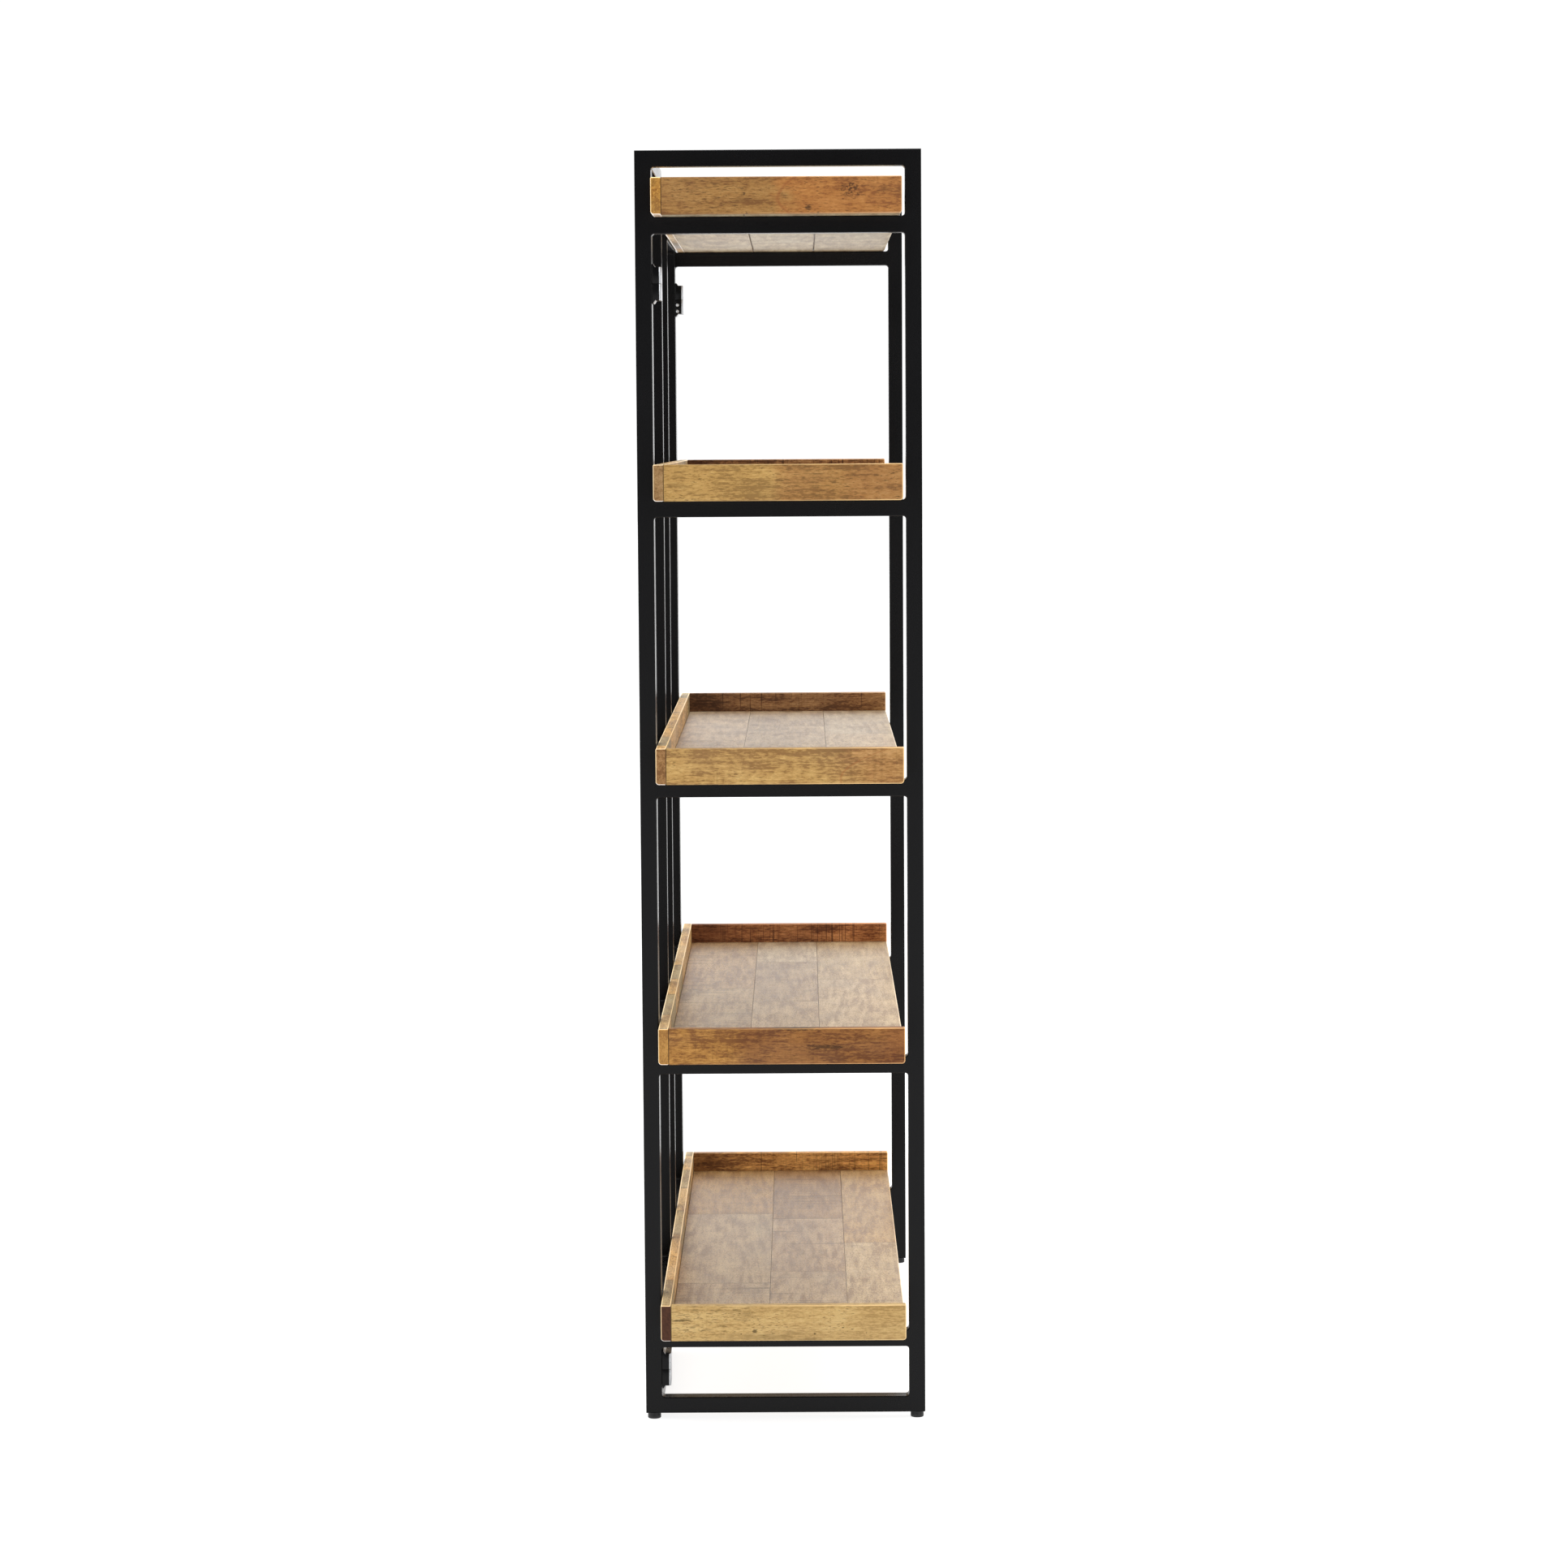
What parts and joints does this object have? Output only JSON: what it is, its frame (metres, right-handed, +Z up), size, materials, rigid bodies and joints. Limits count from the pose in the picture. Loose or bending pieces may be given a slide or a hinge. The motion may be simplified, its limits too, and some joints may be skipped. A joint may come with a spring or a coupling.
{
  "type": "open bookcase",
  "caption": "Tall open bookcase: black square-tube ladder ends with folding back wings carry wooden tray shelves that overhang both ends, on round levelling feet.",
  "frame": {"origin": "on the floor, under the middle of the bookcase", "axes": "+Z up, +X along the bookcase towards its right-hand end seen from the front, +Y towards the back (the open front faces -Y)"},
  "size_m": [1.2, 0.4, 1.8],
  "materials": {
    "frame_black": "satin black powder coat",
    "foot_black": "matt moulded",
    "pin_zinc": "zinc plated",
    "wood_floor": "pale, rough sawn and lightly sealed",
    "wood_rim": "warm brown, lightly sealed"
  },
  "bodies": {
    "frame": {"left_front_post": "frame_black", "left_back_post": "frame_black", "left_top_rail": "frame_black", "left_bottom_rail": "frame_black", "left_rung_1": "frame_black", "left_rung_2": "frame_black", "left_rung_3": "frame_black", "left_rung_4": "frame_black", "left_rung_5": "frame_black", "left_wing_frame": "frame_black", "left_lower_hinge_top": "frame_black", "left_lower_hinge_bottom": "frame_black", "left_lower_hinge_pin": "pin_zinc", "left_upper_hinge_top": "frame_black", "left_upper_hinge_bottom": "frame_black", "left_upper_hinge_pin": "pin_zinc", "right_front_post": "frame_black", "right_back_post": "frame_black", "right_top_rail": "frame_black", "right_bottom_rail": "frame_black", "right_rung_1": "frame_black", "right_rung_2": "frame_black", "right_rung_3": "frame_black", "right_rung_4": "frame_black", "right_rung_5": "frame_black", "right_wing_frame": "frame_black", "right_lower_hinge_top": "frame_black", "right_lower_hinge_bottom": "frame_black", "right_lower_hinge_pin": "pin_zinc", "right_upper_hinge_top": "frame_black", "right_upper_hinge_bottom": "frame_black", "right_upper_hinge_pin": "pin_zinc"},
    "shelf_1": {"shelf_1_floor": "wood_floor", "shelf_1_back_board": "wood_rim", "shelf_1_left_end": "wood_rim", "shelf_1_right_end": "wood_rim"},
    "shelf_2": {"shelf_2_floor": "wood_floor", "shelf_2_back_board": "wood_rim", "shelf_2_left_end": "wood_rim", "shelf_2_right_end": "wood_rim"},
    "shelf_3": {"shelf_3_floor": "wood_floor", "shelf_3_back_board": "wood_rim", "shelf_3_left_end": "wood_rim", "shelf_3_right_end": "wood_rim"},
    "shelf_4": {"shelf_4_floor": "wood_floor", "shelf_4_back_board": "wood_rim", "shelf_4_left_end": "wood_rim", "shelf_4_right_end": "wood_rim"},
    "shelf_5": {"shelf_5_floor": "wood_floor", "shelf_5_back_board": "wood_rim", "shelf_5_left_end": "wood_rim", "shelf_5_right_end": "wood_rim"},
    "left_front_foot_leveller": {"left_front_foot": "foot_black"},
    "left_back_foot_leveller": {"left_back_foot": "foot_black"},
    "left_wing_foot_leveller": {"left_wing_foot": "foot_black"},
    "right_front_foot_leveller": {"right_front_foot": "foot_black"},
    "right_back_foot_leveller": {"right_back_foot": "foot_black"},
    "right_wing_foot_leveller": {"right_wing_foot": "foot_black"}
  },
  "joints": [
    {"name": "shelf_1_lift", "type": "slide", "parent": "frame", "child": "shelf_1", "axis": [0, 0, 1], "range_m": [0, 0.315]},
    {"name": "shelf_2_lift", "type": "slide", "parent": "frame", "child": "shelf_2", "axis": [0, 0, 1], "range_m": [0, 0.315]},
    {"name": "shelf_3_lift", "type": "slide", "parent": "frame", "child": "shelf_3", "axis": [0, 0, 1], "range_m": [0, 0.315]},
    {"name": "shelf_4_lift", "type": "slide", "parent": "frame", "child": "shelf_4", "axis": [0, 0, 1], "range_m": [0, 0.215]},
    {"name": "shelf_5_lift", "type": "slide", "parent": "frame", "child": "shelf_5", "axis": [0, 0, 1], "range_m": [0, 0.015]},
    {"name": "left_front_foot_adjust", "type": "slide", "parent": "frame", "child": "left_front_foot_leveller", "axis": [0, 0, -1], "range_m": [0, 0.01]},
    {"name": "left_back_foot_adjust", "type": "slide", "parent": "frame", "child": "left_back_foot_leveller", "axis": [0, 0, -1], "range_m": [0, 0.01]},
    {"name": "left_wing_foot_adjust", "type": "slide", "parent": "frame", "child": "left_wing_foot_leveller", "axis": [0, 0, -1], "range_m": [0, 0.01]},
    {"name": "right_front_foot_adjust", "type": "slide", "parent": "frame", "child": "right_front_foot_leveller", "axis": [0, 0, -1], "range_m": [0, 0.01]},
    {"name": "right_back_foot_adjust", "type": "slide", "parent": "frame", "child": "right_back_foot_leveller", "axis": [0, 0, -1], "range_m": [0, 0.01]},
    {"name": "right_wing_foot_adjust", "type": "slide", "parent": "frame", "child": "right_wing_foot_leveller", "axis": [0, 0, -1], "range_m": [0, 0.01]}
  ]
}
